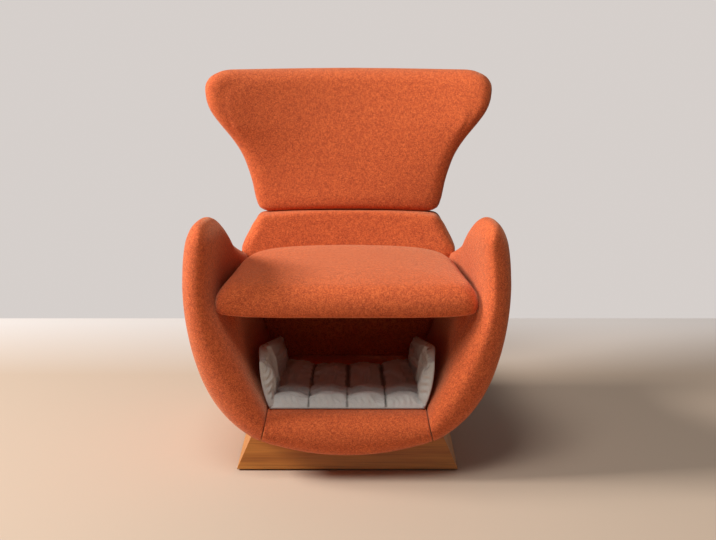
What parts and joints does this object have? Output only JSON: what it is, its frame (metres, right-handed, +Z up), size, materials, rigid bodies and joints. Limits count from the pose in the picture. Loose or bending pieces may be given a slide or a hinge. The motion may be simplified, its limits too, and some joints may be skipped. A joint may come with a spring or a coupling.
{
  "type": "lounge chair",
  "caption": "Upholstered lounge chair with a winged reclined back, an open padded nest under the seat, a quilted mat in the nest and a tapered oak plinth.",
  "frame": {"origin": "on the floor, under the middle of the plinth", "axes": "+Z up, +Y to the back of the chair, +X to the right as seen from the front"},
  "size_m": [0.784, 0.7625, 0.937],
  "materials": {
    "wool": "orange melange wool weave, matte",
    "quilt": "grey quilted cotton, matte",
    "oak": "honey oak, satin lacquer",
    "frame_wood": "plain birch plywood and pine",
    "steel": "zinc-plated mild steel",
    "felt": "dark felt"
  },
  "bodies": {
    "chair": {"arm_left": "wool", "arm_rail_left": "frame_wood", "arm_rail_right": "frame_wood", "arm_right": "wool", "back_board": "frame_wood", "back_posts": "steel", "base_board": "frame_wood", "base_bolts": "steel", "foot_strip": "felt", "front_rib": "frame_wood", "lower_back": "wool", "nest_back_wall": "wool", "nest_floor": "wool", "plinth_cleats": "frame_wood", "plinth_corner_blocks": "frame_wood", "plinth_deck": "frame_wood", "plinth_front": "oak", "plinth_left": "oak", "plinth_rear": "oak", "plinth_right": "oak", "rear_frame": "frame_wood", "rear_rib": "frame_wood", "rear_struts": "frame_wood", "seat_board": "frame_wood", "seat_cushion": "wool", "seat_rail_left": "frame_wood", "seat_rail_right": "frame_wood", "seat_tenons": "frame_wood", "tub_back": "wool", "wing_back": "wool"},
    "mat": {"pet_mat": "quilt"}
  },
  "joints": [
    {"name": "mat_slide", "type": "slide", "parent": "chair", "child": "mat", "axis": [0, -1, 0], "range_m": [0, 0.5]}
  ]
}
